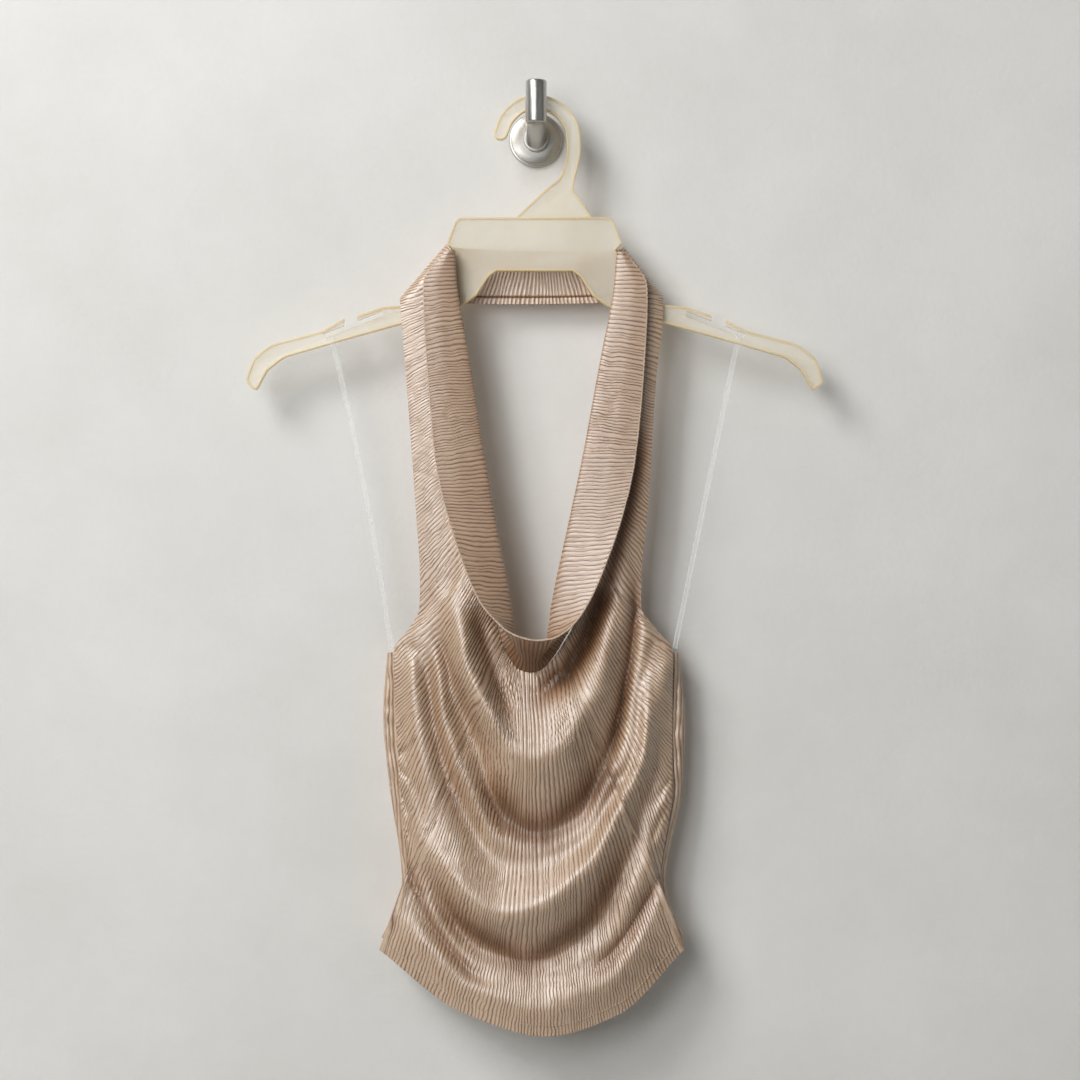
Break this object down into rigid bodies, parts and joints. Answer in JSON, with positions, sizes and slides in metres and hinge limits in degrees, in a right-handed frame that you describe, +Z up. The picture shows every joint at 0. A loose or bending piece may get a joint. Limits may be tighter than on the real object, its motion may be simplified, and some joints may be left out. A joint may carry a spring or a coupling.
{
  "type": "cowl neck halter blouse on a plastic hanger and wall hook",
  "caption": "Sleeveless halter top with a draped cowl neck and folded collar in crinkle-pleated satin, on a frosted hanger with clear hang loops, on a steel wall hook.",
  "frame": {"origin": "centre of the wall hook rose's flat back face, on the wall", "axes": "+X to the right of a viewer who faces the wall, +Y into the wall, +Z up"},
  "size_m": [0.435, 0.0702, 0.7153],
  "materials": {
    "crinkle_satin": "crinkled satin",
    "frosted_plastic": "frosted translucent",
    "brushed_steel": "brushed",
    "clear_elastic": "clear"
  },
  "bodies": {
    "root": {"front_panel": "crinkle_satin", "cowl_collar": "crinkle_satin", "back_panel": "crinkle_satin", "back_neck_band": "crinkle_satin", "hang_loop_left": "clear_elastic", "hang_loop_right": "clear_elastic", "hanger": "frosted_plastic", "wall_rose": "brushed_steel", "hook_peg": "brushed_steel"}
  },
  "joints": []
}
